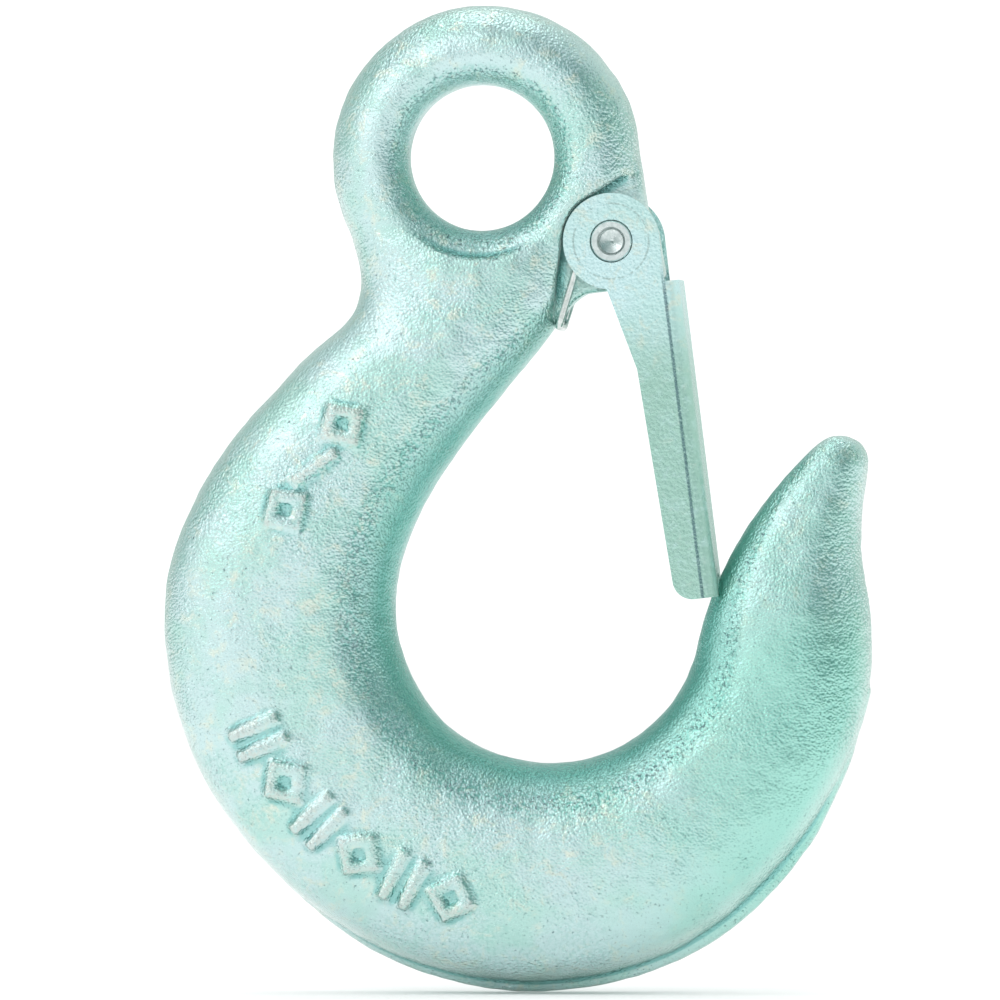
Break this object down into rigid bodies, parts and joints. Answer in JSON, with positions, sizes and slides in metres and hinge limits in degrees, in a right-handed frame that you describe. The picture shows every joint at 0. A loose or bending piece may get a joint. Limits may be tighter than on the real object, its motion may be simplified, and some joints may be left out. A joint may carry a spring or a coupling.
{
  "type": "eye hook with safety latch",
  "caption": "Forged eye slip hook with a spring-loaded safety latch that closes the throat against the tip.",
  "frame": {"origin": "centre of the eye's bore, on the parting plane of the forging", "axes": "+Z from the bowl up to the eye, +X from the shank's side to the tip's side, +Y from the front face to the back face along the bore"},
  "size_m": [0.0922, 0.0184, 0.1283],
  "materials": {
    "hook_plating": "blue-green zinc plating over a rough forged surface",
    "latch_plating": "blue-green zinc plating over smooth sheet steel",
    "rivet_plating": "bright zinc plating, worn where it was set",
    "spring_wire": "bright drawn wire"
  },
  "bodies": {
    "hook": {"hook_body": "hook_plating", "latch_spring": "spring_wire"},
    "latch": {"latch": "latch_plating", "latch_rivet": "rivet_plating"}
  },
  "joints": [
    {"name": "latch_hinge", "type": "hinge", "parent": "hook", "child": "latch", "pos_m": [0.0172, 0, -0.01095], "axis": [0, 1, 0], "range_deg": [0, 40], "stiffness_Nm_per_rad": 0.05, "springref_deg": -20.05, "deforming": ["latch_spring"]}
  ]
}
